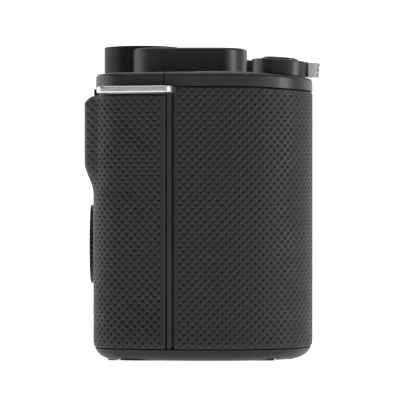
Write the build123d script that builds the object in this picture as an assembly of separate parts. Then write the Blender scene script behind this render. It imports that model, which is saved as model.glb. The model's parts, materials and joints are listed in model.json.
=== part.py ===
"""Rangefinder-style digital camera body, built from its separate pieces.

Frame: X runs across the camera with the hand grip at -X, -Y is the way the lens looks,
+Z is up. X = 0 is the optical axis, Y = 0 the image plane and Z = 0 the surface that
the feet stand on. Sizes are in millimetres.
"""
from build123d import *
from math import cos, radians, sin, tan
import os

os.makedirs("parts", exist_ok=True)

# ---- driving dimensions -------------------------------------------------------------
GRIP_END = -71.0          # furthest point of the hand grip
LEFT_END = 50.0           # opposite end of the body
REAR = 18.2               # rear face
FRONT = -15.5             # front face beside the lens mount
BASE_Z = 0.35             # underside of the body, standing on its feet
BORDER_Z = 61.7           # where the rubber ends and the top covers begin
SHOULDER_Z = 64.85        # top of the low shoulder
TURRET_Z = 72.3           # top of the raised housing
BREAK_Y = -17.0           # forward of this line the shoulder slopes down
TOP_SLOPE = 3.5           # slope of the shoulder, degrees
BORDER_SLOPE = 2.3        # slope of the rubber's top border, degrees
BOTTOM_RADIUS = 4.3       # rounding of the lower edge
SKIN = 1.2                # rubber thickness
WALL = 1.8                # casing thickness under the rubber
GAP = 0.1                 # running clearance of small moving parts
SEAM_Y = 0.85             # plane where front and rear casings meet
TOP_SEAM_Y = 2.0          # plane where the two top covers meet
POCKET_Z = 59.9           # floor of the dark band that holds the strap lug
COVER_STEP = 0.6          # how far the top covers stand in from the rear face

MOUNT_Z = 33.4            # height of the optical axis
THROAT_R = 23.0           # lens throat
THROAT_LENGTH = 2.4
FLANGE_Y = -18.0          # lens seat, 18 mm in front of the image plane
MOUNT_R = 28.4            # outside of the steel mount ring
BOSS_R = 30.4             # outside of the boss under it

TILT = 4.0                # forward tilt of the shutter group, degrees
SHUTTER_AT = (-56.5, -24.0, 64.7)   # foot of the shutter group's axis
ZOOM_R = 6.45
BUTTON_R = 4.2

DIAL_AT = (-24.0, 8.03)   # thumb dial
DIAL_R = 8.98
DIAL_TOP = 73.0
RECORD_AT = (-46.0, -8.6)
WHEEL_AT = (-44.0, 26.15)  # rear wheel, X and Z
WHEEL_R = 9.1

LCD_X = (-26.0, 44.5)
LCD_Z = (6.6, 53.0)
LCD_T = 4.6
LCD_Y = 15.7              # hinge axes, halfway through the screen's thickness
LOW_HINGE_Z = LCD_Z[0] + LCD_T / 2
HIGH_HINGE_Z = LCD_Z[1] - LCD_T / 2

SHOE_AT = (5.0, -4.0)
EYE_AT = (34.0, 62.2)     # viewfinder window, X and Z
FAR = 200.0


# ---- helpers ------------------------------------------------------------------------
def block(x, y, z, radius=0.0, axis=None):
    """A box between the given limits, with the edges along axis rounded."""
    solid = Pos(sum(x) / 2, sum(y) / 2, sum(z) / 2) * Box(x[1] - x[0], y[1] - y[0], z[1] - z[0])
    return fillet(solid.edges().filter_by(axis), radius) if radius else solid


def rod_x(x, y, z, r):
    return Pos(sum(x) / 2, y, z) * Rot(Y=90) * Cylinder(r, x[1] - x[0])


def rod_y(x, y, z, r):
    return Pos(x, sum(y) / 2, z) * Rot(X=90) * Cylinder(r, y[1] - y[0])


def rod_z(x, y, z, r):
    return Pos(x, y, sum(z) / 2) * Cylinder(r, z[1] - z[0])


def polar(centre, r, angle):
    return (centre[0] + r * cos(radians(angle)), centre[1] + r * sin(radians(angle)))


def prism(face, z):
    return Pos(0, 0, z[0]) * extrude(face, z[1] - z[0])


def side_profile(points):
    """A slab whose outline is given as (y, z) points, wide enough to cross the camera."""
    face = Plane.YZ * make_face(Polyline(*points, close=True))
    return Pos(-FAR / 2, 0, 0) * extrude(face, FAR)


def knurled(r, height, teeth, depth):
    """A drum with straight V grooves, standing on z = 0."""
    step = 360 / teeth
    outline = []
    for i in range(teeth):
        outline.append(polar((0, 0), r, i * step))
        outline.append(polar((0, 0), r, (i + 0.45) * step))
        outline.append(polar((0, 0), r - depth, (i + 0.72) * step))
    return extrude(make_face(Polyline(*outline, close=True)), height)


def upper_edges(solid, z):
    """Edges that lie wholly above z, for rounding a lid."""
    return [e for e in solid.edges() if e.bounding_box().min.Z > z]


def save(name, shape):
    export_step(Compound(shape) if isinstance(shape, list) else shape, f"parts/{name}.step")


# ---- plan outline -------------------------------------------------------------------
def plan_outline():
    """The body seen from above: a slab with a rounded hand grip at its -X end."""
    lean, wrap, finger = 165.0, 208.0, -15.0
    rear_r, blend_r, side_r, nose_r, finger_r, root_r, corner_r = 8.9, 31.0, 28.0, 15.3, 7.2, 5.0, 7.0
    rear_c = (-59.05, REAR - rear_r)
    lean_from = polar(rear_c, rear_r, lean)
    lean_to_x = GRIP_END + blend_r + blend_r * cos(radians(lean))
    lean_to = (lean_to_x, lean_from[1] - (lean_from[0] - lean_to_x) / tan(radians(180 - lean)))
    blend_c = polar(lean_to, -blend_r, lean)
    side_c = (GRIP_END + side_r, -10.5)
    nose_from = polar(side_c, side_r, wrap)
    nose_c = polar(nose_from, -nose_r, wrap)
    finger_c = (nose_c[0], nose_c[1] - nose_r + finger_r)
    finger_to = polar(finger_c, finger_r, finger)
    normal = (cos(radians(finger)), sin(radians(finger)))
    root_y = FRONT - root_r
    reach = root_r + finger_to[0] * normal[0] + finger_to[1] * normal[1]
    root_c = ((reach - root_y * normal[1]) / normal[0], root_y)
    root_from = polar(root_c, -root_r, finger)
    left_x = LEFT_END - corner_r
    edges = [
        CenterArc(rear_c, rear_r, 90, lean - 90),
        Line(lean_from, lean_to),
        CenterArc(blend_c, blend_r, lean, 180 - lean),
        Line((GRIP_END, blend_c[1]), (GRIP_END, side_c[1])),
        CenterArc(side_c, side_r, 180, wrap - 180),
        CenterArc(nose_c, nose_r, wrap, 270 - wrap),
        CenterArc(finger_c, finger_r, 270, 90 + finger),
        Line(finger_to, root_from),
        CenterArc(root_c, root_r, 180 + finger, -90 - finger),
        Line((root_c[0], FRONT), (left_x, FRONT)),
        CenterArc((left_x, FRONT + corner_r), corner_r, 270, 90),
        Line((LEFT_END, FRONT + corner_r), (LEFT_END, REAR - corner_r)),
        CenterArc((left_x, REAR - corner_r), corner_r, 0, 90),
        Line((left_x, REAR), (rear_c[0], REAR)),
    ]
    return make_face(edges)


PLAN = plan_outline()


def inner_plan(inset):
    return offset(PLAN, amount=-inset, kind=Kind.ARC)


def border_z(y):
    return BORDER_Z - max(0.0, BREAK_Y - y) * tan(radians(BORDER_SLOPE))


def shoulder_z(y):
    return SHOULDER_Z - max(0.0, BREAK_Y - y) * tan(radians(TOP_SLOPE))


def under_border(drop=0.0):
    """Everything below the border between rubber and top covers."""
    far, near = -50.0, 50.0
    return side_profile([
        (far, -30), (near, -30), (near, BORDER_Z - drop),
        (BREAK_Y, BORDER_Z - drop), (far, border_z(far) - drop),
    ])


def body_prism(inset):
    """The body below the top covers, drawn in by inset on every outer side."""
    solid = prism(inner_plan(inset) if inset else PLAN, (BASE_Z + inset, 75))
    foot = solid.faces().sort_by(Axis.Z)[0].edges()
    return fillet(foot, BOTTOM_RADIUS - inset) & under_border()


BODY = body_prism(0)
UNDER_SKIN = body_prism(SKIN)
CAVITY = body_prism(SKIN + WALL)
SKIN_SHELL = BODY - UNDER_SKIN
CASE_SHELL = BODY - CAVITY


# ---- rubber covers ------------------------------------------------------------------
COVER_FOOT = 2.9


def grip_cover_front():
    """Dimpled rubber round the front of the grip, from the seam to the finger side."""
    region = block((-90, -45.5), (-40, 0.0), (COVER_FOOT, 75))
    return SKIN_SHELL & region


def thumb_rest():
    """The raised pad under the thumb, drawn as a side profile with rounded ends."""
    pad = side_profile([
        (REAR - SKIN, 38.3), (REAR, 38.3), (REAR + 0.4, 40.3), (REAR + 1.5, 43.2), (REAR + 2.0, 45.5),
        (REAR + 2.0, 58.2), (REAR + 1.0, POCKET_Z), (REAR - SKIN, POCKET_Z),
    ])
    width = block((-63.5, -43.5), (0, 30), (30, 70), 2.5, Axis.Z)
    return pad & width


def grip_cover_rear():
    """Dimpled rubber behind the seam, with the thumb rest."""
    low = block((-90, -57.2), (1.8, 40), (COVER_FOOT, POCKET_Z))
    high = block((-90, -43.5), (1.8, 40), (38.3, POCKET_Z))
    return (SKIN_SHELL & (low + high)) + thumb_rest() - UNDER_SKIN


def front_cover_left():
    """Dimpled cover on the front face and round the left end."""
    region = block((-39.5, 60), (-40, -9.5), (COVER_FOOT, 58.0))
    cover = (SKIN_SHELL & region) - rod_y(0, (-40, 0), MOUNT_Z, BOSS_R + 0.3) - release_seat()
    return cover - rod_y(LAMP_AT[0], (-40, 0), LAMP_AT[1], 2.6)


def seam_strip():
    """Plain moulded strip set in the seam of the grip."""
    region = block((-90, -55), (0.35, 1.35), (COVER_FOOT, POCKET_Z))
    return (body_prism(0.45) - UNDER_SKIN) & region


# ---- casings ------------------------------------------------------------------------
RELEASE_AT = (36.5, 24.0)


def release_seat():
    """Round clearance for the lens release button and its collar."""
    return rod_y(RELEASE_AT[0], (-40, 0), RELEASE_AT[1], 5.2)


def lug_pocket():
    """Recess in the casing that the strap lug stands in."""
    return (BODY - body_prism(1.3)) & block((-90, -55), (-0.1, 40), (POCKET_Z, 75))


def screen_recess():
    return block((LCD_X[0] - 1.5, LCD_X[1] + 1.5), (11.6, 40), (LCD_Z[0] - 0.5, LCD_Z[1] + 0.5))


def door_opening():
    """Opening in the floor of the grip, with the pin's holes and the latch's keeper."""
    hole = block((-66.0, -39.2), (-23.0, 12.2), (-5, 6)) & prism(inner_plan(2.4), (-5, 6))
    keeper = block((-67.5, -65.0), (-7.4, -4.6), (2.1, 2.8))
    return hole + keeper + rod_y(DOOR_AXIS[0], (-14.5, 13.5), DOOR_AXIS[1], 0.32)


def rear_holes():
    """Openings for the wheel, the centre button and the keys of the rear panel."""
    holes = rod_y(WHEEL_AT[0], (REAR - 2.4, 40), WHEEL_AT[1], WHEEL_R + 0.25)
    holes += rod_y(WHEEL_AT[0], (0, 40), WHEEL_AT[1], 3.0)
    for x, z, r in REAR_KEYS.values():
        holes += rod_y(x, (0, 40), z, r + GAP)
    return holes


REAR_KEYS = {
    "menu_button": (-20.5, 57.3, 2.3),
    "function_button": (-35.0, 42.5, 2.5),
    "playback_button": (-36.3, 11.0, 2.5),
    "delete_button": (-51.7, 11.0, 2.5),
}


def viewfinder_opening():
    x, z = EYE_AT
    return block((x - 8.5, x + 8.5), (4, 40), (z - 5.6, z + 5.6))


def pin_holes():
    """Blind holes in the screen recess for the lower hinge pins."""
    reach = 2.2
    return rod_x((LCD_X[0] - 1.5 - reach, LCD_X[0] - 1.4), LCD_Y, LOW_HINGE_Z, 0.85) + rod_x(
        (LCD_X[1] + 1.4, LCD_X[1] + 1.5 + reach), LCD_Y, LOW_HINGE_Z, 0.85)


PORT_AXIS = (49.3, -3.2)
PORT_DOORS = {"port_door_upper": (36.5, 54.5), "port_door_lower": (14.5, 35.5)}
PORT_Y = (-4.0, 9.0)


def port_pockets():
    """Pockets in the left end that the port doors close."""
    pockets = None
    for low, high in PORT_DOORS.values():
        seat = block((LEFT_END - 1.8, 60), PORT_Y, (low, high), 1.6, Axis.X)
        hole = block((LEFT_END - 8, 60), (PORT_Y[0] + 1.4, PORT_Y[1] - 1.4), (low + 1.4, high - 1.4))
        pockets = seat + hole if pockets is None else pockets + seat + hole
    return pockets


def covers_space():
    """All that the rubber covers and the strip take out of the casing."""
    return grip_cover_front() + grip_cover_rear() + front_cover_left() + (
        SKIN_SHELL & block((-90, -55), (0.0, 1.8), (COVER_FOOT, POCKET_Z)))


def lug_slots():
    return strap_lug(GRIP_SIDE, 0.0) + strap_lug(LEFT_SIDE, 0.0)


def case_blank():
    shell = CASE_SHELL - covers_space() - lug_pocket() - screen_recess() - door_opening()
    shell = shell - rear_holes() - viewfinder_opening() - pin_holes() - port_pockets()
    shell = shell - lug_slots() - base_seat() - screw_holes() - rod_z(0, 0, (-5, 10), 5.0)
    for spot in FOOT_SPOTS:
        shell = shell - rod_z(*spot, (-5, BASE_Z + 0.6), 1.15)
    return shell


def cut_in_panels(shell, fields):
    """Cut a moulding into panels with hairline joints, so that each panel keeps a simple form."""
    hair = 0.02
    panels = []
    for (x0, x1), (z0, z1) in fields:
        panel = shell & block((x0 + hair, x1 - hair), (-60, 60), (z0 + hair, z1 - hair))
        panels.extend(panel.solids())
    return panels


def front_casing():
    """Front shell with the boss for the lens mount."""
    shell = CASE & block((-90, 60), (-50, SEAM_Y), (-5, 80))
    boss = rod_y(0, (FLANGE_Y + 1.3, FRONT + 2.0), MOUNT_Z, BOSS_R)
    boss = fillet(boss.edges().sort_by(Axis.Y)[0], 0.6) & under_border()
    throat = rod_y(0, (-40, 0), MOUNT_Z, 25.5)
    shell = shell + boss - throat - mount_screw_holes() - release_hole()
    shell = shell - rod_y(LAMP_AT[0], (-40, 0), LAMP_AT[1], 2.6)
    return cut_in_panels(shell, [((-90, 60), (-5, 2.3)), ((-90, 60), (2.3, 80))])


def rear_casing():
    """Rear shell with the screen recess and the control panel."""
    shell = CASE & block((-90, 60), (SEAM_Y, 50), (-5, 80))
    tray = block((LCD_X[0] - 3.3, LCD_X[1] + 3.3), (10.4, REAR - 2), (LCD_Z[0] - 2.3, LCD_Z[1] + 2.3)) & CAVITY
    cheeks = tray - screen_recess() - pin_holes() - viewfinder_opening() - rear_holes()
    x0, x1 = LCD_X[0] - 0.4, LCD_X[1] + 0.4
    z0, z1 = LCD_Z[0] - 0.4, LCD_Z[1] + 0.4
    shell = shell + cheeks - rod_y(-10, (0, 13), 30, 3.0)
    return cut_in_panels(shell, [
        ((-90, x0), (-5, 80)), ((x1, 60), (-5, 80)), ((x0, x1), (-5, z0)), ((x0, x1), (z1, 80)), ((x0, x1), (z0, z1)),
    ])


# ---- top ----------------------------------------------------------------------------
def top_blank():
    """Both shoulder covers in one piece, before the seam is cut."""
    far, near = -50.0, 50.0
    band = side_profile([
        (far, border_z(far)), (BREAK_Y, BORDER_Z), (near, BORDER_Z),
        (near, SHOULDER_Z), (BREAK_Y, SHOULDER_Z), (far, shoulder_z(far)),
    ])
    lid = prism(PLAN & (Pos(0, -COVER_STEP) * PLAN), (50, 75)) & band
    rim = [e for e in upper_edges(lid, 63.0) if abs(e.center().Y - BREAK_Y) > 0.01 or e.length < 10]
    rim = [e for e in rim if max(abs(e.position_at(t).Y - BREAK_Y) for t in (0, 1)) >= 0.01]
    lid = fillet(rim, 0.9)
    well = block((-34.5, 24), (-12.5, 6.5), (50, 80))
    dial_well = rod_z(*DIAL_AT, (50, 80), 2.6)
    record_well = rod_z(*RECORD_AT, (50, 80), 4.3)
    return lid - well - dial_well - record_well - shutter_bore(3.0) - viewfinder_opening()


def shutter_bore(r):
    return tilted(Cylinder(r, 40))


def tilted(shape):
    """Moves a shape drawn about the Z axis onto the tilted axis of the shutter group."""
    return Pos(*SHUTTER_AT) * Rot(X=TILT) * shape


def top_cover_front():
    return TOP & block((-90, 60), (-50, TOP_SEAM_Y - 0.1), (50, 80))


def top_cover_rear():
    return TOP & block((-90, 60), (TOP_SEAM_Y + 0.1, 50), (50, 80))


def turret_plan(inset):
    main = Pos(4.5, -3.5) * RectangleRounded(85.0, 27.6, 7.5)
    eye = Pos(33.5, 6.8) * RectangleRounded(27.0, 22.8, 5.0)
    face = main + eye
    return offset(face, amount=-inset, kind=Kind.ARC) if inset else face


def turret_cover():
    """Raised housing over the lens, with the notch for the thumb dial."""
    outer = prism(turret_plan(0), (SHOULDER_Z, TURRET_Z))
    outer = fillet(outer.faces().sort_by(Axis.Z)[-1].edges(), 0.7)
    hollow = prism(turret_plan(1.5), (SHOULDER_Z - 1, TURRET_Z - 1.5))
    brow = block((-20, 20), (BREAK_Y - 2.1, BREAK_Y + 0.6), (SHOULDER_Z + 0.2, TURRET_Z - 2.1), 1.0, Axis.Z)
    shell = outer - hollow + brow
    collar = rod_z(*DIAL_AT, (SHOULDER_Z, TURRET_Z - 0.7), DIAL_R + 1.5) & outer
    shell = shell + collar - rod_z(*DIAL_AT, (SHOULDER_Z - 1, 90), DIAL_R + 0.3)
    x, y = SHOE_AT
    shoe_bed = block((x - 11.0, x + 11.0), (y - 9.8, y + 9.8), (TURRET_Z - 1.1, 80), 1.0, Axis.Z)
    shell = shell - shoe_bed - viewfinder_opening() - mode_slot() - rod_z(*DIOPTER_AT, (60, 80), 1.1)
    for mic_x, mic_y in MIC_AT:
        shell = shell - block((mic_x - 3.6, mic_x + 3.6), (mic_y - 6.1, mic_y + 6.1), (60, 80), 2.0, Axis.Z)
    return shell


MIC_AT = [(-19.5, -9.0), (24.5, -9.0)]
MODE_AT = (38.0, -8.0)


def mode_slot():
    x, y = MODE_AT
    return block((x - 4.2, x + 4.2), (y - 1.1, y + 1.1), (60, 80), 1.0, Axis.Z)


def microphone_grille():
    """Two slotted grilles, one each side of the accessory shoe."""
    grilles = []
    for x, y in MIC_AT:
        plate = block((x - 3.5, x + 3.5), (y - 6.0, y + 6.0), (TURRET_Z - 1.2, TURRET_Z - 0.05), 1.9, Axis.Z)
        for i in range(7):
            slot_y = y - 4.2 + i * 1.4
            plate = plate - block((x - 2.5, x + 2.5), (slot_y - 0.3, slot_y + 0.3), (60, 80))
        grilles.append(plate)
    return grilles


def microphone_capsules():
    return [rod_z(x, y + dy, (TURRET_Z - 5.6, TURRET_Z - 2.6), 2.6) for x, y in MIC_AT for dy in (-2.9, 2.9)]


def mode_slider():
    x, y = MODE_AT
    stem = block((x - 3.0, x - 0.6), (y - 1.0, y + 1.0), (TURRET_Z - 1.7, TURRET_Z + 0.2))
    cap = block((x - 3.2, x - 0.4), (y - 1.9, y + 1.9), (TURRET_Z + 0.1, TURRET_Z + 1.1))
    cap = fillet(cap.edges().filter_by(Axis.Z), 0.5)
    for i in range(3):
        groove_x = x - 2.5 + i * 0.7
        cap = cap - block((groove_x - 0.12, groove_x + 0.12), (-40, 40), (TURRET_Z + 0.85, 90))
    flange = block((x - 3.6, x), (y - 1.9, y + 1.9), (TURRET_Z - 2.5, TURRET_Z - 1.6))
    return stem + cap + flange


def hot_shoe():
    """Accessory shoe: a floor and two rails that a foot slides under from the rear."""
    x, y = SHOE_AT
    floor = TURRET_Z - 1.1
    top = floor + 2.9
    body = block((x - 10.8, x + 10.8), (y - 9.6, y + 9.6), (floor, top), 0.8, Axis.Z)
    channel = block((x - 9.35, x + 9.35), (y - 8.4, y + 30), (floor + 0.55, floor + 2.1))
    mouth = block((x - 6.3, x + 6.3), (y - 8.4, y + 30), (floor + 0.55, 90))
    return body - channel - mouth


def hot_shoe_spring():
    x, y = SHOE_AT
    floor = TURRET_Z - 1.1 + 0.55
    return [block((x + s * 7.6 - 0.9, x + s * 7.6 + 0.9), (y - 6.5, y + 7.5), (floor, floor + 0.25)) for s in (-1, 1)]


def hot_shoe_contacts():
    x, y = SHOE_AT
    floor = TURRET_Z - 1.1 + 0.55
    pads = [rod_z(x, y - 1.0, (floor, floor + 0.2), 1.6)]
    pads += [rod_z(x + dx, y - 4.8, (floor, floor + 0.2), 0.8) for dx in (-4.2, -1.4, 1.4, 4.2)]
    return pads


# ---- shutter group and shoulder controls --------------------------------------------
def zoom_lever():
    """Ring round the shutter button with a ribbed finger tab at the front."""
    ring = Pos(0, 0, 1.775) * Cylinder(ZOOM_R, 3.35)
    ring = fillet(ring.edges().sort_by(Axis.Z)[-1], 0.35)
    tab = Pos(0, -6.4, 1.74) * Box(3.6, 4.0, 3.3)
    nub = Rot(Z=-14) * Pos(0, 6.6, 1.6) * Box(2.6, 2.2, 2.9)
    lever = ring + fillet(tab.edges().filter_by(Axis.Z), 0.5) + fillet(nub.edges().filter_by(Axis.Z), 0.6)
    for i in range(3):
        lever = lever + Pos(0, -8.6, 0.62 + i * 1.12) * Rot(Y=90) * Cylinder(0.53, 3.1)
    lever = lever - Pos(0, 0, 5) * Cylinder(BUTTON_R + 0.12, 8.6)
    hub = Pos(0, 0, -1.9) * Cylinder(2.9, 4.6)
    return tilted(lever + hub - Cylinder(1.7, 40))


def shutter_button():
    cap = Pos(0, 0, 2.95) * Cylinder(BUTTON_R, 2.3)
    cap = fillet(cap.edges().sort_by(Axis.Z)[-1], 0.5)
    dish = Pos(0, 0, 3.95 + 30) * Sphere(30)
    stem = Pos(0, 0, -1.4) * Cylinder(1.6, 7.0)
    return tilted(cap - (dish & Pos(0, 0, 5) * Cylinder(3.4, 4)) + stem)


def shutter_switch():
    """Two-stage switch under the shutter button."""
    return tilted(Pos(0, 0, -8.4) * Box(6.0, 6.0, 3.0))


def power_lever():
    """Low ring round the record button with a short tab."""
    x, y = RECORD_AT
    ring = rod_z(x, y, (SHOULDER_Z + 0.3, SHOULDER_Z + 1.15), 5.2)
    ring = fillet(ring.edges().sort_by(Axis.Z)[-1], 0.3)
    tab = block((x - 1.3, x + 1.3), (y - 7.0, y - 4), (SHOULDER_Z + 0.35, SHOULDER_Z + 1.05), 0.5, Axis.Z)
    skirt = rod_z(x, y, (SHOULDER_Z - 2.6, SHOULDER_Z + 0.4), 4.2)
    return ring + tab + skirt - rod_z(x, y, (50, 90), 3.6)


def record_button():
    x, y = RECORD_AT
    cap = rod_z(x, y, (SHOULDER_Z - 1.4, SHOULDER_Z + 1.2), 3.5)
    cap = fillet(cap.edges().sort_by(Axis.Z)[-1], 0.4)
    return cap + rod_z(x, y, (SHOULDER_Z - 4.5, SHOULDER_Z - 1.3), 1.2)


def thumb_dial():
    """Knurled dial at the rear corner of the raised housing."""
    height = DIAL_TOP - SHOULDER_Z - 0.2
    drum = Pos(*DIAL_AT, SHOULDER_Z + 0.2) * knurled(DIAL_R, height, 110, 0.22)
    drum = drum - rod_z(*DIAL_AT, (DIAL_TOP - 0.45, 90), DIAL_R - 1.5)
    return drum + rod_z(*DIAL_AT, (SHOULDER_Z - 5.5, SHOULDER_Z + 0.3), 2.5)


def dial_detent():
    """Star plate and encoder below the thumb dial."""
    x, y = DIAL_AT
    return rod_z(x, y, (SHOULDER_Z - 8.6, SHOULDER_Z - 5.7), 6.0)


# ---- lens mount ---------------------------------------------------------------------
def mount_ring():
    """Steel bayonet ring: flange, throat and three lugs behind a relief groove."""
    ring = rod_y(0, (FLANGE_Y, FLANGE_Y + 1.3), MOUNT_Z, MOUNT_R)
    ring = ring + rod_y(0, (FLANGE_Y, FLANGE_Y + 3.6), MOUNT_Z, 25.3)
    ring = ring - rod_y(0, (-40, 0), MOUNT_Z, THROAT_R)
    ring = ring - rod_y(0, (FLANGE_Y + THROAT_LENGTH, 0), MOUNT_Z, THROAT_R + 0.8)
    lugs = rod_y(0, (FLANGE_Y + 2.8, FLANGE_Y + 3.6), MOUNT_Z, THROAT_R + 1.0) - rod_y(0, (-40, 0), MOUNT_Z, 21.6)
    for turn in (60, 180, 300):
        lugs = lugs - Pos(0, 0, MOUNT_Z) * Rot(Y=turn) * Pos(30, 0, 0) * Box(60, 80, 24)
    return ring + lugs - mount_screw_holes() - lock_hole()


def mount_screw_angles():
    return [45, 135, 225, 315]


def mount_screw_holes():
    holes = None
    for angle in mount_screw_angles():
        x, z = polar((0, MOUNT_Z), 26.9, angle)
        hole = rod_y(x, (FLANGE_Y + 0.4, -12.6), z, 0.55) + rod_y(x, (-40, FLANGE_Y + 0.75), z, 1.05)
        holes = hole if holes is None else holes + hole
    return holes


def mount_screws():
    screws = []
    for angle in mount_screw_angles():
        x, z = polar((0, MOUNT_Z), 26.9, angle)
        head = rod_y(x, (FLANGE_Y + 0.15, FLANGE_Y + 0.7), z, 1.0) - block(
            (x - 0.7, x + 0.7), (-40, FLANGE_Y + 0.4), (z - 0.12, z + 0.12))
        screws.append(head + rod_y(x, (FLANGE_Y + 0.6, -13.0), z, 0.5))
    return screws


LOCK_AT = polar((0, MOUNT_Z), 26.9, 0)


def lock_hole():
    return rod_y(LOCK_AT[0], (-40, 0), LOCK_AT[1], 0.95)


def lock_pin():
    return fillet(rod_y(LOCK_AT[0], (FLANGE_Y - 1.1, -12.0), LOCK_AT[1], 0.85).edges().sort_by(Axis.Y)[0], 0.25)


def release_hole():
    return rod_y(36.5, (-40, 0), 24.0, 4.9) + lock_hole()


def release_button():
    """Lens release button beside the mount."""
    cap = fillet(rod_y(36.5, (FRONT - 1.9, FRONT + 1.4), 24.0, 4.7).edges().sort_by(Axis.Y)[0], 0.8)
    return cap - rod_y(36.5, (-40, FRONT - 1.6), 24.0, 3.4) + rod_y(36.5, (FRONT + 1.3, FRONT + 4.5), 24.0, 1.2)


def mount_contacts():
    """Contact block at the foot of the throat."""
    arc = rod_y(0, (-13.9, -12.4), MOUNT_Z, 21.6) - rod_y(0, (-40, 0), MOUNT_Z, 18.4)
    arc = arc & block((-13, 13), (-20, 0), (0, MOUNT_Z - 14))
    for i in range(10):
        x, z = polar((0, MOUNT_Z), 20.0, 270 + (i - 4.5) * 6.4)
        arc = arc - rod_y(x, (-40, -13.5), z, 0.55)
    return arc


def contact_pins():
    pins = []
    for i in range(10):
        x, z = polar((0, MOUNT_Z), 20.0, 270 + (i - 4.5) * 6.4)
        pins.append(rod_y(x, (-14.1, -13.5), z, 0.5))
    return pins


# ---- inside the throat --------------------------------------------------------------
def light_baffle():
    """Black tunnel from the mount to the shutter."""
    outer = rod_y(0, (-12.3, -6.4), MOUNT_Z, 25.0)
    bore = rod_y(0, (-14.4, -7.4), MOUNT_Z, 21.8)
    window = block((-14.5, 14.5), (-20, 0), (MOUNT_Z - 10.5, MOUNT_Z + 10.5), 1.0, Axis.Y)
    return outer - bore - window


SHUTTER_Y = (-6.3, -2.3)
BLADE_H = 10.0


def shutter_frame():
    """Front and rear plates of the shutter with the space that the blades fold into."""
    x, z = (-22.0, 22.0), (MOUNT_Z - 12.5, MOUNT_Z + 21.0)
    slab = block(x, SHUTTER_Y, z, 1.5, Axis.Y)
    space = block((-17.5, 17.5), (SHUTTER_Y[0] + 0.8, SHUTTER_Y[1] - 0.8), (MOUNT_Z - 11.6, MOUNT_Z + 20.2))
    window = block((-13.0, 13.0), (-20, 5), (MOUNT_Z - 9.0, MOUNT_Z + 9.0), 0.6, Axis.Y)
    return slab - space - window


def shutter_blade(index):
    """One of two blades that fold above the window when the shutter is open."""
    y = SHUTTER_Y[0] + 1.1 + index * 0.95
    low = MOUNT_Z + 9.6
    return block((-16.8, 16.8), (y, y + 0.35), (low, low + BLADE_H), 0.5, Axis.Y)


def image_sensor():
    return block((-15.5, 15.5), (0.0, 2.0), (MOUNT_Z - 11.5, MOUNT_Z + 11.5), 0.8, Axis.Y) - block(
        (-11.8, 11.8), (-5, 0.15), (MOUNT_Z - 7.9, MOUNT_Z + 7.9))


def sensor_glass():
    return block((-14.3, 14.3), (-1.2, -0.05), (MOUNT_Z - 10.3, MOUNT_Z + 10.3), 0.5, Axis.Y)


def sensor_carrier():
    """Metal plate that carries the sensor, with three mounting ears."""
    plate = block((-24, 24), (2.05, 3.4), (MOUNT_Z - 15, MOUNT_Z + 15), 2.0, Axis.Y)
    for x, z in ((-21, 12), (21, 12), (0, -13)):
        plate = plate - rod_y(x, (0, 5), MOUNT_Z + z, 0.9)
    return plate


def chassis():
    """Cast frame round the throat that ties the mount, the shutter and the tripod socket."""
    slab = block((-33.5, 33.5), (-12.2, -6.6), (7.0, 60.2), 3.0, Axis.Y)
    slab = slab - rod_y(0, (-20, 0), MOUNT_Z, 25.1)
    foot = block((-12.0, 12.0), (-6.7, 9.5), (7.0, 8.2))
    return slab + foot - lock_hole()


def main_board():
    board = block((-30, 40), (5.2, 6.4), (8.5, 54), 1.5, Axis.Y)
    chips = [(-8, 40, 7), (14, 30, 6), (-14, 20, 4.5), (30, 42, 4)]
    for x, z, half in chips:
        board = board + block((x - half, x + half), (6.3, 7.6), (z - half, z + half))
    return board


def heat_plate():
    return block((-22, 38), (8.0, 8.8), (12, 50), 2.0, Axis.Y)


# ---- power --------------------------------------------------------------------------
BATTERY = ((-64.6, -49.3), (-19.5, 8.8), (5.2, 49.0))
CARD = ((-43.4, -41.3), (-12.3, 11.6), (6.2, 38.0))


def battery():
    cell = block(*BATTERY, 1.6, Axis.Z)
    for i in range(3):
        y = 3.0 + i * 2.6
        cell = cell - block((-62.0, -60.6), (y - 0.7, y + 0.7), (48.2, 60))
    return cell


def battery_bay():
    """Moulded sleeve that guides the battery and the card."""
    (x0, x1), (y0, y1), (z0, z1) = BATTERY
    clear, wall = 0.25, 0.8
    sleeve = block((x0 - clear - wall, CARD[0][1] + clear + wall), (y0 - clear - wall, y1 + clear + wall),
                   (5.2, z1 + 1.6))
    well = block((x0 - clear, x1 + clear), (y0 - clear, y1 + clear), (0, z1 + 0.6))
    slot = block((CARD[0][0] - clear, CARD[0][1] + clear), (CARD[1][0] - 0.15, 20), (0, CARD[2][1] + 1.0))
    return (sleeve - well - slot) & body_prism(SKIN + WALL + 0.1)


def battery_contacts():
    return [block((-62.0, -60.6), (3.0 + i * 2.6 - 0.4, 3.0 + i * 2.6 + 0.4), (48.4, 49.5)) for i in range(3)]


def memory_card():
    (x0, x1), (y0, y1), (z0, z1) = CARD
    card = block(*CARD)
    notch = Pos(x0, y1, z1) * Rot(X=45) * Box(10, 4.2, 4.2)
    return card - notch


DOOR_X, DOOR_Y, DOOR_Z = (-65.7, -41.0), (-22.7, 11.9), (BASE_Z, BASE_Z + 1.7)
DOOR_AXIS = (DOOR_X[1] + 0.55, DOOR_Z[0] + 0.85)
LATCH_X, LATCH_Y = (-61.4, -58.4), (-8.0, -4.0)
LATCH_TRAVEL = 1.2


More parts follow.
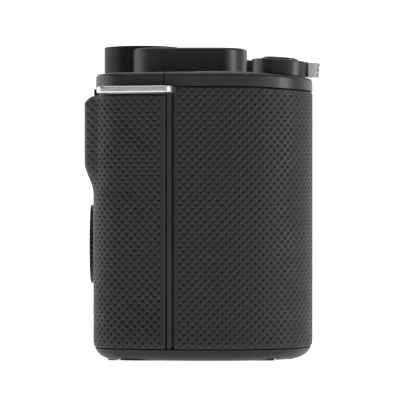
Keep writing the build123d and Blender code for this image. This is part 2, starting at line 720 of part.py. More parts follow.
def battery_door():
    """Door under the grip; its two hinge barrels turn on a pin."""
    leaf = block(DOOR_X, DOOR_Y, DOOR_Z) & prism(inner_plan(2.7), DOOR_Z)
    for y0, y1 in ((-11, -6), (4, 9)):
        leaf = leaf + rod_y(DOOR_AXIS[0], (y0, y1), DOOR_AXIS[1], 0.8)
        leaf = leaf + block((DOOR_X[1] - 0.6, DOOR_AXIS[0]), (y0, y1), (DOOR_AXIS[1], DOOR_AXIS[1] + 0.8))
    leaf = leaf - rod_y(DOOR_AXIS[0], (-30, 30), DOOR_AXIS[1], 0.34)
    slot = block((LATCH_X[0] - LATCH_TRAVEL - 0.1, LATCH_X[1] + 0.1), (LATCH_Y[0] - 0.1, LATCH_Y[1] + 0.1), (-5, 5))
    return leaf - slot


def battery_door_pin():
    return rod_y(DOOR_AXIS[0], (-14.3, 13.3), DOOR_AXIS[1], 0.3)


def battery_door_latch():
    """Sliding bolt in the door, drawn back; it locks by moving towards -X."""
    knob = block(LATCH_X, LATCH_Y, (BASE_Z + 0.1, DOOR_Z[1] + 0.2))
    for i in range(3):
        groove_x = LATCH_X[0] + 0.6 + i * 0.9
        knob = knob - block((groove_x - 0.15, groove_x + 0.15), (-30, 30), (-5, BASE_Z + 0.35))
    flange = block((LATCH_X[0] - 0.6, LATCH_X[1] + 1.6), (LATCH_Y[0] - 0.9, LATCH_Y[1] + 0.9),
                   (DOOR_Z[1] + 0.1, DOOR_Z[1] + 0.6))
    bolt = block((DOOR_X[0] - 0.1, LATCH_X[0]), (-7.2, -4.8), (DOOR_Z[1] + 0.1, DOOR_Z[1] + 0.6))
    return knob + flange + bolt


# ---- base ---------------------------------------------------------------------------
def base_seat():
    """Recess in the casing that takes the base plate."""
    return block((-37.6, 46.0), (-11.0, 14.0), (-5, BASE_Z + 1.25), 3.0, Axis.Z)


def base_plate():
    plate = block((-37.4, 45.8), (-10.8, 13.8), (BASE_Z, BASE_Z + 1.2), 2.9, Axis.Z)
    plate = fillet(plate.faces().sort_by(Axis.Z)[0].edges(), 0.3)
    return plate - rod_z(0, 0, (-5, 10), 5.0) - screw_holes()


BASE_SCREWS = [(-33.5, -7.0), (-33.5, 10.0), (42.0, -7.0), (42.0, 10.0), (20.0, 10.0), (20.0, -7.0)]


def screw_holes():
    holes = None
    for x, y in BASE_SCREWS:
        hole = rod_z(x, y, (-5, 3.6), 0.6) + rod_z(x, y, (-5, BASE_Z + 0.7), 1.3)
        holes = hole if holes is None else holes + hole
    return holes


def base_screws():
    screws = []
    for x, y in BASE_SCREWS:
        head = rod_z(x, y, (BASE_Z + 0.1, BASE_Z + 0.68), 1.2)
        cross = block((x - 0.8, x + 0.8), (y - 0.15, y + 0.15), (-5, BASE_Z + 0.4))
        cross = cross + block((x - 0.15, x + 0.15), (y - 0.8, y + 0.8), (-5, BASE_Z + 0.4))
        screws.append(head - cross + rod_z(x, y, (BASE_Z + 0.6, 3.5), 0.55))
    return screws


def tripod_socket():
    """Steel bush with the quarter-inch hole, its mouth flush with the base plate."""
    bush = rod_z(0, 0, (BASE_Z, 6.9), 4.95) - rod_z(0, 0, (-5, 6.1), 3.175)
    return bush - Pos(0, 0, BASE_Z) * Cone(3.425, 3.175, 0.25, align=(Align.CENTER, Align.CENTER, Align.MIN))


FOOT_SPOTS = [(-58.3, 13.8), (-54.2, -26.2), (43.5, 15.3), (43.5, -12.7)]


def feet():
    """Small rubber feet let into the base."""
    return [fillet(rod_z(*spot, (0, BASE_Z + 0.5), 1.1).edges().sort_by(Axis.Z)[0], 0.2) for spot in FOOT_SPOTS]


# ---- rear screen --------------------------------------------------------------------
def screen_bar(x, r):
    """A slab whose upper and lower edges are round about the two hinge lines."""
    low = rod_x(x, LCD_Y, LOW_HINGE_Z, r)
    high = rod_x(x, LCD_Y, HIGH_HINGE_Z, r)
    return low + high + block(x, (LCD_Y - r, LCD_Y + r), (LOW_HINGE_Z, HIGH_HINGE_Z))


def screen_pin(side, high):
    """A stub pin; the upper ones enter the screen, the lower ones the casing."""
    edge = LCD_X[0] if side < 0 else LCD_X[1]
    z = HIGH_HINGE_Z if high else LOW_HINGE_Z
    near, far = edge + side * 0.25, edge + side * (-1.9 if high else 3.4)
    return rod_x((min(near, far), max(near, far)), LCD_Y, z, 0.8)


def screen_arm():
    """Tray behind the screen, with an ear at each side and the hinge pins."""
    inner, outer = LCD_X[0] - 0.25, LCD_X[1] + 0.25
    plate = block((inner - 0.9, outer + 0.9), (11.95, 13.0), (LOW_HINGE_Z - 0.4, HIGH_HINGE_Z + 0.4))
    for x in ((inner - 0.9, inner), (outer, outer + 0.9)):
        ear = screen_bar(x, 1.6) + block(x, (11.95, LCD_Y), (LOW_HINGE_Z - 0.4, HIGH_HINGE_Z + 0.4))
        plate = plate + ear
    for side in (-1, 1):
        plate = plate + screen_pin(side, True) + screen_pin(side, False)
    return plate - block((-8, 26), (0, 20), (18, 42))


def screen_housing():
    bar = screen_bar(LCD_X, LCD_T / 2)
    bar = bar - block((LCD_X[0] + 1.6, LCD_X[1] - 1.6), (LCD_Y + 1.3, 40), (LCD_Z[0] + 3.0, LCD_Z[1] - 3.0))
    for side in (-1, 1):
        edge = LCD_X[0] if side < 0 else LCD_X[1]
        far = edge - side * 2.2
        bar = bar - rod_x((min(edge, far) - 0.5, max(edge, far) + 0.5), LCD_Y, HIGH_HINGE_Z, 0.85)
    return bar


def screen_glass():
    return block((LCD_X[0] + 1.8, LCD_X[1] - 1.8), (LCD_Y + 1.35, LCD_Y + 2.2), (LCD_Z[0] + 3.2, LCD_Z[1] - 3.2),
                 0.6, Axis.Y)


# ---- rear controls ------------------------------------------------------------------
def rear_wheel():
    """Knurled ring that turns round the centre button."""
    drum = Pos(WHEEL_AT[0], REAR + 1.15, WHEEL_AT[1]) * Rot(X=90) * knurled(WHEEL_R, 2.6, 50, 0.3)
    dish = rod_y(WHEEL_AT[0], (REAR + 0.75, 40), WHEEL_AT[1], WHEEL_R - 1.6)
    return drum - dish - rod_y(WHEEL_AT[0], (0, 40), WHEEL_AT[1], 4.15)


def wheel_encoder():
    x, z = WHEEL_AT
    return rod_y(x, (12.7, 15.0), z, 8.0) - rod_y(x, (0, 40), z, 2.6)


def centre_button():
    x, z = WHEEL_AT
    cap = fillet(rod_y(x, (REAR - 1.9, REAR + 1.05), z, 4.0).edges().sort_by(Axis.Y)[-1], 0.4)
    return cap + rod_y(x, (13.3, REAR - 1.8), z, 1.4)


def rear_key(name):
    x, z, r = REAR_KEYS[name]
    return fillet(rod_y(x, (REAR - 2.6, REAR + 0.25), z, r).edges().sort_by(Axis.Y)[-1], 0.2)


def key_board():
    """Switch board behind the rear keys and the wheel."""
    return block((-56, -29.5), (11.9, 12.7), (7, 48), 1.5, Axis.Y)


# ---- viewfinder ---------------------------------------------------------------------
def viewfinder_housing():
    x, z = EYE_AT
    tube = block((x - 8.3, x + 8.3), (6.8, REAR), (z - 5.4, z + 5.4))
    return tube - block((x - 6.6, x + 6.6), (7.8, 40), (z - 4.4, z + 4.4))


def viewfinder_eyecup():
    x, z = EYE_AT
    cup = block((x - 10.2, x + 10.2), (REAR + 0.02, REAR + 2.0), (z - 6.3, z + 6.3), 3.0, Axis.Y)
    cup = fillet(cup.faces().sort_by(Axis.Y)[-1].edges(), 0.8)
    return cup - block((x - 6.6, x + 6.6), (0, 40), (z - 4.4, z + 4.4), 1.2, Axis.Y)


def viewfinder_lens():
    x, z = EYE_AT
    lens = block((x - 6.5, x + 6.5), (14.6, 17.2), (z - 4.3, z + 4.3))
    return lens


def viewfinder_display():
    x, z = EYE_AT
    return block((x - 6.0, x + 6.0), (7.9, 9.2), (z - 4.2, z + 4.2))


def diopter_wheel():
    """Small wheel on the top of the viewfinder block for eyesight correction."""
    return Pos(*DIOPTER_AT, TURRET_Z + 0.05) * knurled(3.0, 1.0, 30, 0.2) + rod_z(*DIOPTER_AT, (TURRET_Z - 3.0, TURRET_Z + 0.2), 1.0)


DIOPTER_AT = (34.0, 11.5)


# ---- left end -----------------------------------------------------------------------
def port_door(name):
    """Flexible door whose round front edge turns in its pocket."""
    low, high = PORT_DOORS[name]
    x, y = PORT_AXIS
    around = block((x - 0.65, x + 0.65), (PORT_Y[0] + 0.15, PORT_Y[1] - 0.15), (low + 0.15, high - 0.15), 1.5, Axis.X)
    root = y + 1.4
    leaf = around & block((x - 1, x + 1), (root, PORT_Y[1]), (low, high))
    leaf = leaf + block((x - 0.65, x + 0.65), (y, root), (low + 1.65, high - 1.65))
    leaf = leaf + rod_z(x, y, (low + 1.65, high - 1.65), 0.65)
    grip = block((x - 0.1, 60), (PORT_Y[1] - 1.5, PORT_Y[1]), ((low + high) / 2 - 2.5, (low + high) / 2 + 2.5))
    return leaf - grip


def port_board():
    return block((40.6, 41.8), (-5.5, 10.0), (13.0, 56.0))


def usb_socket():
    body = block((42.0, 48.2), (-2.2, 7.2), (30.0, 33.4), 1.5, Axis.X)
    body = body - block((43.0, 60), (-1.8, 6.8), (30.4, 33.0), 1.2, Axis.X)
    return body + block((42.5, 47.4), (-0.6, 5.6), (31.4, 32.0))


def hdmi_socket():
    body = block((42.0, 48.2), (-0.9, 5.9), (22.0, 25.4))
    return body - block((43.0, 60), (-0.5, 5.5), (22.4, 25.0)) + block((42.5, 47.2), (0.3, 4.7), (23.4, 24.0))


def headphone_socket():
    return rod_x((42.0, 48.2), 2.5, 18.7, 2.6) - rod_x((43.0, 60), 2.5, 18.7, 1.75)


def microphone_socket():
    return rod_x((42.0, 48.2), 2.5, 45.5, 2.6) - rod_x((43.0, 60), 2.5, 45.5, 1.75)


# ---- strap lugs ---------------------------------------------------------------------
GRIP_SIDE = {"at": (-68.9, 8.2), "turn": 165.0, "half": 8.1, "reach": 9.4}
LEFT_SIDE = {"at": (49.5, 6.0), "turn": 0.0, "half": 6.4, "reach": 6.4}
LUG_Z = (60.05, 61.55)


def strap_lug(side, slot=1.0):
    """Flat steel eye with a long slot, rooted in the casing."""
    half, reach = side["half"], side["reach"]
    root = block((-5.0, 1.0), (-half, half - 0.2), LUG_Z)
    eye = block((0.9, 5.6), (-half, reach), LUG_Z)
    eye = fillet(eye.edges().filter_by(Axis.Z).sort_by(Axis.X)[-2:], 2.2)
    plate = root + eye
    if slot:
        plate = fillet(plate.edges().group_by(Axis.Z)[0] + plate.edges().group_by(Axis.Z)[-1], 0.35)
        plate = plate - block((1.8, 4.0), (-half + 2.4, reach - 2.4), (50, 70), 1.0, Axis.Z)
    return Pos(*side["at"], 0) * Rot(Z=side["turn"]) * plate


# ---- small fittings -----------------------------------------------------------------
LAMP_AT = (-34.8, 52.0)


def assist_lamp():
    return fillet(rod_y(LAMP_AT[0], (FRONT - 0.15, FRONT + 2.6), LAMP_AT[1], 2.5).edges().sort_by(Axis.Y)[0], 0.3)


def speaker():
    return rod_z(-30.0, -4.0, (4.0, 6.6), 4.5)


CASE = case_blank()
TOP = top_blank()

SINGLE = {
    "front_casing": front_casing, "rear_casing": rear_casing, "top_cover_front": top_cover_front,
    "top_cover_rear": top_cover_rear, "turret_cover": turret_cover, "base_plate": base_plate,
    "grip_cover_front": grip_cover_front, "grip_cover_rear": grip_cover_rear,
    "front_cover_left": front_cover_left, "seam_strip": seam_strip,
    "chassis": chassis, "lens_mount_ring": mount_ring, "screws": lambda: mount_screws() + base_screws(),
    "mount_contacts": lambda: [mount_contacts()] + contact_pins(), "lens_lock_pin": lock_pin,
    "lens_release_button": release_button,
    "light_baffle": light_baffle, "shutter_frame": shutter_frame,
    "image_sensor": image_sensor, "sensor_glass": sensor_glass,
    "sensor_carrier": lambda: [sensor_carrier(), heat_plate()],
    "main_board": lambda: [main_board(), shutter_switch(), dial_detent()],
    "battery": battery, "battery_bay": lambda: [battery_bay()] + battery_contacts(),
    "memory_card": memory_card, "battery_door": battery_door, "battery_door_pin": battery_door_pin,
    "battery_door_latch": battery_door_latch,
    "tripod_socket": tripod_socket, "feet": feet,
    "screen_arm": screen_arm, "screen_housing": screen_housing, "screen_glass": screen_glass,
    "rear_wheel": rear_wheel, "centre_button": centre_button,
    "key_board": lambda: [key_board(), wheel_encoder()], "viewfinder_housing": viewfinder_housing,
    "viewfinder_eyecup": viewfinder_eyecup, "viewfinder_optics": lambda: [viewfinder_lens(), viewfinder_display()],
    "diopter_wheel": diopter_wheel, "zoom_lever": zoom_lever, "shutter_button": shutter_button,
    "power_lever": power_lever, "record_button": record_button, "thumb_dial": thumb_dial,
    "hot_shoe": hot_shoe, "hot_shoe_contacts": lambda: hot_shoe_contacts() + hot_shoe_spring(),
    "microphones": lambda: microphone_grille() + microphone_capsules() + [speaker()],
    "mode_slider": mode_slider,
    "port_board": lambda: [port_board(), usb_socket(), hdmi_socket(), headphone_socket(), microphone_socket()],
    "strap_lugs": lambda: [strap_lug(GRIP_SIDE), strap_lug(LEFT_SIDE)],
    "assist_lamp": assist_lamp,
}

for part_name, make in SINGLE.items():
    save(part_name, make())
for key_name in REAR_KEYS:
    save(key_name, rear_key(key_name))
for door_name in PORT_DOORS:
    save(door_name, port_door(door_name))
for number in range(2):
    save(f"shutter_blade_{number + 1}", shutter_blade(number))
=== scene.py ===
"""The looks of a compact camera body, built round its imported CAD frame. Sizes are in metres."""
import json
from math import cos, pi, radians, sin, tan

import bmesh
import bpy
import numpy as np
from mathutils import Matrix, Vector


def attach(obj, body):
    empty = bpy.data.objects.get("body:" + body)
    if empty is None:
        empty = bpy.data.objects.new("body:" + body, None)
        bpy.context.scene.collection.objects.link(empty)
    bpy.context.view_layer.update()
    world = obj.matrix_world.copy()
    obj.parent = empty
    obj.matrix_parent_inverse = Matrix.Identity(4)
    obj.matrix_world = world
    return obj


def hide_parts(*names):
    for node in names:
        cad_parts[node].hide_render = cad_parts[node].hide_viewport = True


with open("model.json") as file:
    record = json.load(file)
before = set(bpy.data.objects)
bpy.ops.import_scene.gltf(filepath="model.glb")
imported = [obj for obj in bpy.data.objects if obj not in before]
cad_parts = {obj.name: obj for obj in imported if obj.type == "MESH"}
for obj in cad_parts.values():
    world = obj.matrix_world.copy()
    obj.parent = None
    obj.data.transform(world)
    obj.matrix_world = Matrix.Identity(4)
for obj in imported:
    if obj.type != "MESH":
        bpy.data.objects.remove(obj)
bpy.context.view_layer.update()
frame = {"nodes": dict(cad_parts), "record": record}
NODES = frame["nodes"]
MM = 0.001

# ---- sizes of the body, as in the CAD part, in millimetres ----------------------------
GRIP_END = -71.0
LEFT_END = 50.0
REAR = 18.2
FRONT = -15.5
BASE_Z = 0.35
BORDER_Z = 61.7
BREAK_Y = -17.0
BORDER_SLOPE = 2.3
BOTTOM_RADIUS = 4.3
POCKET_Z = 59.9
COVER_FOOT = 2.9
MOUNT_Z = 33.4
BOSS_R = 30.7
TAB_FROM_Y = -30.6         # the zoom lever is bare metal in front of this plane
SKIN_DEPTH = 1.05          # how far a cover's rim turns in

# ---- dimples in the rubber ------------------------------------------------------------
PITCH = 1.867              # one square of the pattern, with a pit at its corners and centre
PIT_DEPTH = 0.34
PIT_EDGE = 0.10            # where the pit begins on the pattern's -1 to 1 scale
FINE = 0.2                 # grid step of the grip's covers
COARSE = 0.36              # grid step of the flat front cover
ROLL = 0.55                # width of a cover's rounded rim


# ---- plan outline of the body ---------------------------------------------------------
def polar(centre, r, angle):
    return np.array([centre[0] + r * cos(radians(angle)), centre[1] + r * sin(radians(angle))])


def arc(centre, r, start, sweep):
    length = abs(radians(sweep)) * r
    return {"centre": np.array(centre), "r": r, "start": start, "sweep": sweep, "length": length}


def line(a, b):
    a, b = np.array(a, float), np.array(b, float)
    return {"a": a, "b": b, "length": float(np.linalg.norm(b - a))}


def outline_segments():
    """The outline from the rear face, round the grip, along the front to the left end."""
    lean, wrap, finger = 165.0, 208.0, -15.0
    rear_r, blend_r, side_r, nose_r, finger_r, root_r, corner_r = 8.9, 31.0, 28.0, 15.3, 7.2, 5.0, 7.0
    rear_c = (-59.05, REAR - rear_r)
    lean_from = polar(rear_c, rear_r, lean)
    lean_to_x = GRIP_END + blend_r + blend_r * cos(radians(lean))
    lean_to = (lean_to_x, lean_from[1] - (lean_from[0] - lean_to_x) / tan(radians(180 - lean)))
    blend_c = polar(lean_to, -blend_r, lean)
    side_c = (GRIP_END + side_r, -10.5)
    nose_from = polar(side_c, side_r, wrap)
    nose_c = polar(nose_from, -nose_r, wrap)
    finger_c = (nose_c[0], nose_c[1] - nose_r + finger_r)
    finger_to = polar(finger_c, finger_r, finger)
    normal = (cos(radians(finger)), sin(radians(finger)))
    root_y = FRONT - root_r
    reach = root_r + finger_to[0] * normal[0] + finger_to[1] * normal[1]
    root_c = ((reach - root_y * normal[1]) / normal[0], root_y)
    left_x = LEFT_END - corner_r
    return [
        line((-30.0, REAR), (rear_c[0], REAR)),
        arc(rear_c, rear_r, 90, lean - 90),
        line(lean_from, lean_to),
        arc(blend_c, blend_r, lean, 180 - lean),
        line((GRIP_END, blend_c[1]), (GRIP_END, side_c[1])),
        arc(side_c, side_r, 180, wrap - 180),
        arc(nose_c, nose_r, wrap, 270 - wrap),
        arc(finger_c, finger_r, 270, 90 + finger),
        line(finger_to, polar(root_c, -root_r, finger)),
        arc(root_c, root_r, 180 + finger, -90 - finger),
        line((root_c[0], FRONT), (left_x, FRONT)),
        arc((left_x, FRONT + corner_r), corner_r, 270, 90),
        line((LEFT_END, FRONT + corner_r), (LEFT_END, REAR - corner_r)),
    ]


SEGMENTS = outline_segments()


def outline_table(step=0.05):
    """Points and outward normals along the outline, at even steps of its length."""
    points, normals = [], []
    for seg in SEGMENTS:
        count = max(2, int(seg["length"] / step))
        for i in range(count):
            t = i / count
            if "r" in seg:
                angle = seg["start"] + t * seg["sweep"]
                radial = np.array([cos(radians(angle)), sin(radians(angle))])
                points.append(seg["centre"] + seg["r"] * radial)
                normals.append(radial if seg["sweep"] > 0 else -radial)
            else:
                along = (seg["b"] - seg["a"]) / seg["length"]
                points.append(seg["a"] + t * (seg["b"] - seg["a"]))
                normals.append(np.array([along[1], -along[0]]))
    points, normals = np.array(points), np.array(normals)
    steps = np.linalg.norm(np.diff(points, axis=0), axis=1)
    return np.concatenate([[0], np.cumsum(steps)]), points, normals


TRACK_S, TRACK_P, TRACK_N = outline_table()


def on_outline(s):
    """Position and outward normal at distances s along the outline."""
    p = np.stack([np.interp(s, TRACK_S, TRACK_P[:, k]) for k in (0, 1)], -1)
    n = np.stack([np.interp(s, TRACK_S, TRACK_N[:, k]) for k in (0, 1)], -1)
    return p, n / np.linalg.norm(n, axis=-1, keepdims=True)


def distance_where(test):
    """Distance along the outline at the first point that passes a test."""
    return float(TRACK_S[np.argmax([bool(test(p)) for p in TRACK_P])])


# ---- covers ---------------------------------------------------------------------------
def smooth(x):
    x = np.clip(x, 0, 1)
    return x * x * (3 - 2 * x)


def pits(u, z):
    """Depth of the dimples at distance u along the surface and height z."""
    wave = np.cos(2 * pi * u / PITCH) * np.cos(2 * pi * z / PITCH)
    return PIT_DEPTH * smooth((wave - PIT_EDGE) / (1 - PIT_EDGE))


def foot_inset(z):
    """How far the rounded lower edge has drawn in at height z."""
    below = np.clip(BOTTOM_RADIUS - (z - BASE_Z), 0, BOTTOM_RADIUS)
    return BOTTOM_RADIUS - np.sqrt(BOTTOM_RADIUS ** 2 - below ** 2)


def rim_roll(d):
    """The rounding of a cover's rim at distance d from its edge."""
    return 0.42 * np.clip(1 - d / ROLL, 0, 1) ** 2


def mesh_object(name, verts, faces, material):
    mesh = bpy.data.meshes.new(name)
    mesh.from_pydata((np.asarray(verts) * MM).tolist(), [], faces)
    mesh.update()
    mesh.polygons.foreach_set("use_smooth", np.ones(len(mesh.polygons), bool))
    obj = bpy.data.objects.new(name, mesh)
    bpy.context.scene.collection.objects.link(obj)
    obj.data.materials.append(material)
    return obj


def grid_faces(rows, cols):
    i = np.arange(rows - 1)[:, None] * cols + np.arange(cols - 1)[None, :]
    return np.stack([i, i + 1, i + cols + 1, i + cols], -1).reshape(-1, 4)


def turn_in_rims(obj, inward):
    """Gives an open sheet its thickness at the rims. inward maps a vertex index to a direction."""
    bm = bmesh.new()
    bm.from_mesh(obj.data)
    bm.verts.ensure_lookup_table()
    edges = [e for e in bm.edges if e.is_boundary]
    made = bmesh.ops.extrude_edge_only(bm, edges=edges)["geom"]
    rim = set(g for g in made if isinstance(g, bmesh.types.BMVert))
    for v in rim:
        partner = next(o for o in (e.other_vert(v) for e in v.link_edges) if o not in rim)
        v.co += Vector(inward[partner.index]) * SKIN_DEPTH * MM
    bmesh.ops.recalc_face_normals(bm, faces=bm.faces)
    bm.to_mesh(obj.data)
    bm.free()
    obj.data.polygons.foreach_set("use_smooth", np.ones(len(obj.data.polygons), bool))
    return obj


def wrapped_cover(name, s0_of_z, s1, z0, z1_of_y, raised, material):
    """A dimpled cover that follows the outline from s0, which may change with height, to s1."""
    z_guess = np.arange(z0, BORDER_Z, FINE)
    rows = len(z_guess) + 1
    cols = int((s1 - min(s0_of_z(z) for z in z_guess)) / FINE) + 1
    t = np.linspace(0, 1, cols)
    r = np.linspace(0, 1, rows)
    z_flat = z0 + r * (z1_of_y(0.0) - z0)
    s0 = np.array([s0_of_z(z) for z in z_flat])[:, None]
    s = s0 + t[None, :] * (s1 - s0)
    p, n = on_outline(s)
    top = np.vectorize(z1_of_y)(p[..., 1])
    z = z0 + r[:, None] * (top - z0)
    edge = np.minimum(np.minimum(z - z0, top - z), np.minimum(s - s0, s1 - s))
    lift = raised(p, z)
    flat = smooth((edge - 0.45) / 0.5)
    off = lift - foot_inset(z) - rim_roll(edge) - pits(s, z) * flat
    xy = p + n * off[..., None]
    verts = np.concatenate([xy, z[..., None]], -1).reshape(-1, 3)
    faces = grid_faces(rows, cols)
    obj = mesh_object(name, verts, faces.tolist(), material)
    inward = np.concatenate([-n, np.zeros(n.shape[:2] + (1,))], -1).reshape(-1, 3)
    return turn_in_rims(obj, inward)


def border(y):
    return BORDER_Z - 0.04 - max(0.0, BREAK_Y - y) * tan(radians(BORDER_SLOPE))


def grip_front_cover(material):
    s0 = distance_where(lambda p: p[1] <= -0.05 and p[0] < -60)
    s1 = distance_where(lambda p: p[0] > -45.6 and p[1] < -18)
    return wrapped_cover("grip_rubber_front", lambda z: s0, s1, COVER_FOOT, border,
                         lambda p, z: np.zeros(z.shape), material)


REST_TOP = 2.0             # height of the thumb rest over the rear face


def thumb_rest(p, z):
    """The raised pad: steep at the top, an S-shaped run-out below, drawn down towards the side."""
    up = smooth((z - 37.8) / 7.2)
    chamfer = np.clip((POCKET_Z - z) / 1.5, 0.0, 1.0)
    across = smooth((p[..., 0] + 64.0) / 3.6)
    return REST_TOP * up * (0.3 + 0.7 * chamfer) * across


def grip_rear_cover(material):
    """The rear cover, from the seam round to the back; it reaches further in beside the thumb rest."""
    s_low = distance_where(lambda p: p[0] < -57.2)
    s_high = distance_where(lambda p: p[0] < -43.5)
    s_seam = distance_where(lambda p: p[1] <= 1.8 and p[0] < -60)

    def inner_end(z):
        return float(s_low + (s_high - s_low) * smooth((z - 36.6) / 2.6))
    return wrapped_cover("grip_rubber_rear", inner_end, s_seam, COVER_FOOT, lambda y: POCKET_Z,
                         thumb_rest, material)


def front_panel(material):
    """The dimpled cover of the front face and the left end, cut round the mount and the button."""
    s0 = distance_where(lambda p: p[0] > -39.3 and p[1] < -15)
    s1 = distance_where(lambda p: p[0] > 49 and p[1] > -9.6)
    rows, cols = int(55.0 / COARSE) + 1, int((s1 - s0) / COARSE) + 1
    s = np.linspace(s0, s1, cols)[None, :].repeat(rows, 0)
    z = np.linspace(COVER_FOOT, 58.0, rows)[:, None].repeat(cols, 1)
    cuts = [(0.0, MOUNT_Z, BOSS_R + 0.1), (36.5, 24.0, 5.3), (-34.8, 52.0, 2.7)]
    s_zero = distance_where(lambda p: p[0] > 0 and p[1] < -15)
    gone = np.zeros(s.shape, bool)
    edge = np.minimum(np.minimum(s - s0, s1 - s), np.minimum(z - COVER_FOOT, 58.0 - z))
    for cx, cz, r in cuts:
        du, dz = s - (s_zero + cx), z - cz
        d = np.hypot(du, dz)
        gone |= d < r - COARSE * 0.9
        snap = (d < r) & ~gone
        s = np.where(snap, s_zero + cx + du / np.maximum(d, 1e-6) * r, s)
        z = np.where(snap, cz + dz / np.maximum(d, 1e-6) * r, z)
        edge = np.minimum(edge, np.abs(d - r))
    p, n = on_outline(s)
    off = -foot_inset(z) - rim_roll(edge) - pits(s, z) * smooth((edge - 0.45) / 0.5)
    verts = np.concatenate([p + n * off[..., None], z[..., None]], -1).reshape(-1, 3)
    faces = grid_faces(rows, cols)
    faces = faces[~gone.reshape(-1)[faces].any(1)]
    used = np.unique(faces)
    index = np.full(len(verts), -1)
    index[used] = np.arange(len(used))
    obj = mesh_object("front_rubber", verts[used], index[faces].tolist(), material)
    inward = np.concatenate([-n, np.zeros(n.shape[:2] + (1,))], -1).reshape(-1, 3)[used]
    return turn_in_rims(obj, inward)


# ---- materials ------------------------------------------------------------------------
class Nodes:
    """A material's node tree with short calls for the nodes used here."""

    def __init__(self, name, **sockets):
        self.material = bpy.data.materials.new(name)
        self.material.use_nodes = True
        self.tree = self.material.node_tree
        self.shader = self.tree.nodes["Principled BSDF"]
        for key, value in sockets.items():
            self.shader.inputs[key.replace("_", " ")].default_value = value

    def add(self, kind, **values):
        node = self.tree.nodes.new(kind)
        for key, value in values.items():
            if key in node.inputs:
                node.inputs[key].default_value = value
            else:
                setattr(node, key, value)
        return node

    def link(self, a, b):
        self.tree.links.new(a, b)

    def noise(self, scale, detail=3.0, stretch=None):
        place = self.add("ShaderNodeTexCoord").outputs["Object"]
        if stretch:
            mapping = self.add("ShaderNodeMapping")
            mapping.inputs["Scale"].default_value = stretch
            self.link(place, mapping.inputs["Vector"])
            place = mapping.outputs["Vector"]
        node = self.add("ShaderNodeTexNoise", Scale=scale, Detail=detail, Roughness=0.6)
        self.link(place, node.inputs["Vector"])
        return node.outputs["Fac"]

    def spread(self, fac, low, high):
        node = self.add("ShaderNodeMapRange")
        node.inputs["To Min"].default_value = low
        node.inputs["To Max"].default_value = high
        node.inputs["From Min"].default_value = 0.3
        node.inputs["From Max"].default_value = 0.7
        self.link(fac, node.inputs["Value"])
        return node.outputs["Result"]

    def blend(self, fac, a, b):
        node = self.add("ShaderNodeMix", data_type="RGBA")
        node.inputs[6].default_value = (*a, 1)
        node.inputs[7].default_value = (*b, 1)
        self.link(fac, node.inputs[0])
        return node.outputs[2]

    def colour(self, output):
        self.link(output, self.shader.inputs["Base Color"])

    def rough(self, output):
        self.link(output, self.shader.inputs["Roughness"])

    def bump(self, height, strength, distance):
        node = self.add("ShaderNodeBump", Strength=strength, Distance=distance)
        self.link(height, node.inputs["Height"])
        self.link(node.outputs["Normal"], self.shader.inputs["Normal"])


def coated(name, dark, light, rough, grain=9000.0, bump=0.25, metallic=0.0, spec=0.5, coat=0.0):
    """Painted or moulded surfaces: fine grain, faint cloudiness and uneven gloss."""
    n = Nodes(name, Metallic=metallic)
    n.shader.inputs["Specular IOR Level"].default_value = spec
    n.shader.inputs["Coat Weight"].default_value = coat
    n.colour(n.blend(n.noise(60.0), dark, light))
    n.rough(n.spread(n.noise(130.0, 4.0), rough - 0.04, rough + 0.05))
    n.bump(n.noise(grain, 2.0), bump, 0.00004)
    return n.material


def rubber():
    n = Nodes("dimpled_rubber")
    n.shader.inputs["Specular IOR Level"].default_value = 0.36
    n.colour(n.blend(n.noise(90.0, 5.0), (0.005, 0.005, 0.006), (0.010, 0.010, 0.011)))
    n.rough(n.spread(n.noise(240.0, 4.0), 0.42, 0.54))
    n.bump(n.noise(7000.0, 3.0), 0.3, 0.00005)
    return n.material


def lever_finish():
    """Gloss black ring whose finger tab, nearer the front, is bare satin metal."""
    n = Nodes("lever_with_satin_tab")
    place = n.add("ShaderNodeSeparateXYZ")
    n.link(n.add("ShaderNodeTexCoord").outputs["Object"], place.inputs["Vector"])
    tab = n.add("ShaderNodeMath", operation="LESS_THAN")
    tab.inputs[1].default_value = TAB_FROM_Y * MM
    n.link(place.outputs["Y"], tab.inputs[0])
    metal = n.blend(n.noise(400.0), (0.30, 0.30, 0.31), (0.40, 0.40, 0.41))
    paint = n.blend(n.noise(60.0), (0.006, 0.006, 0.007), (0.010, 0.010, 0.011))
    mix = n.add("ShaderNodeMix", data_type="RGBA")
    n.link(tab.outputs[0], mix.inputs[0])
    n.link(paint, mix.inputs[6])
    n.link(metal, mix.inputs[7])
    n.colour(mix.outputs[2])
    n.rough(n.spread(n.noise(130.0, 4.0), 0.26, 0.34))
    n.bump(n.noise(3000.0, 2.0), 0.05, 0.00004)
    return n.material


def turned_metal(name, tone, rough, stretch):
    """Bare metal with the fine lines that machining leaves."""
    n = Nodes(name, Metallic=1.0)
    low, high = tuple(c * 0.86 for c in tone), tone
    n.colour(n.blend(n.noise(900.0, 3.0, stretch), low, high))
    n.rough(n.spread(n.noise(700.0, 3.0, stretch), rough - 0.05, rough + 0.08))
    n.bump(n.noise(2600.0, 2.0, stretch), 0.15, 0.00003)
    return n.material


def glass(name, tone, rough=0.05):
    n = Nodes(name)
    n.shader.inputs["Coat Weight"].default_value = 0.6
    n.shader.inputs["Specular IOR Level"].default_value = 0.6
    n.colour(n.blend(n.noise(35.0), tone, tuple(c * 1.4 for c in tone)))
    n.rough(n.spread(n.noise(80.0), rough, rough + 0.04))
    return n.material


